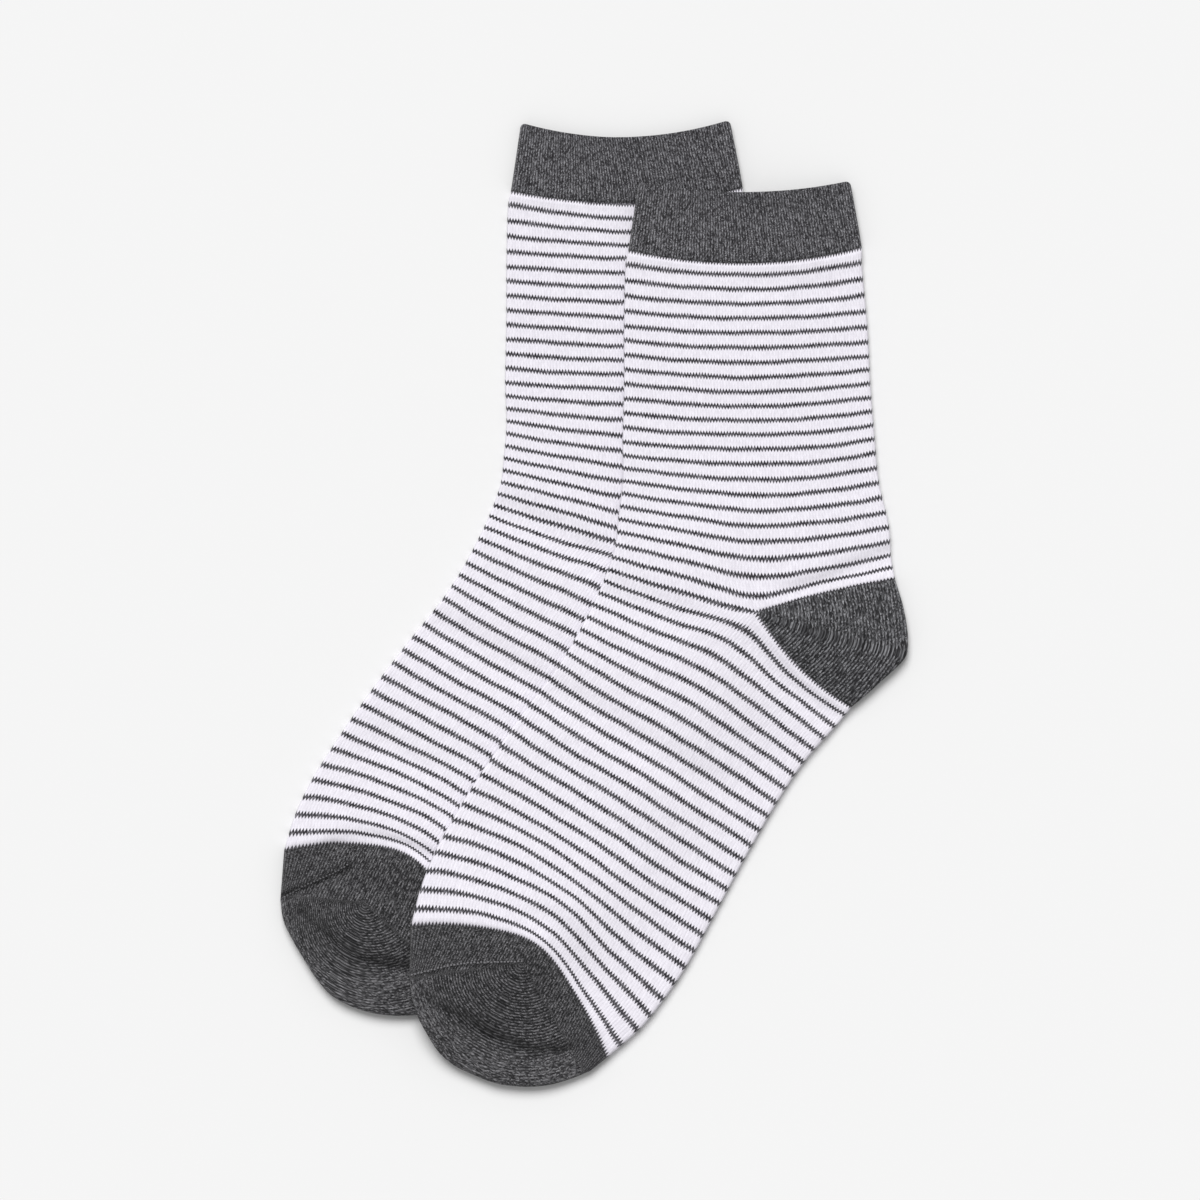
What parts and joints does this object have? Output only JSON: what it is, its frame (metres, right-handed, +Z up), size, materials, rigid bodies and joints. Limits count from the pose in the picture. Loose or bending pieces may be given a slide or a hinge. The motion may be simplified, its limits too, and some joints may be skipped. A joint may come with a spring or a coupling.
{
  "type": "pair of crew socks",
  "caption": "Pair of knitted crew socks laid flat, one partly over the other, off-white with thin charcoal stripes and charcoal cuffs, heels and toes.",
  "frame": {"origin": "on the table, under the middle of the pair's box", "axes": "+Z up from the table, +Y from the toes towards the cuffs, +X towards the heels"},
  "size_m": [0.2164, 0.3334, 0.0111],
  "materials": {
    "cuff_knit": "charcoal melange doubled cuff, fine upright wales, matt",
    "striped_knit": "off-white plain knit with thin charcoal cross stripes, matt",
    "heel_knit": "charcoal melange plain knit, matt",
    "toe_knit": "charcoal melange plain knit, matt"
  },
  "bodies": {
    "root": {"lower_sock_cuff": "cuff_knit", "lower_sock_body": "striped_knit", "lower_sock_heel": "heel_knit", "lower_sock_toe": "toe_knit", "upper_sock_cuff": "cuff_knit", "upper_sock_body": "striped_knit", "upper_sock_heel": "heel_knit", "upper_sock_toe": "toe_knit"}
  },
  "joints": []
}
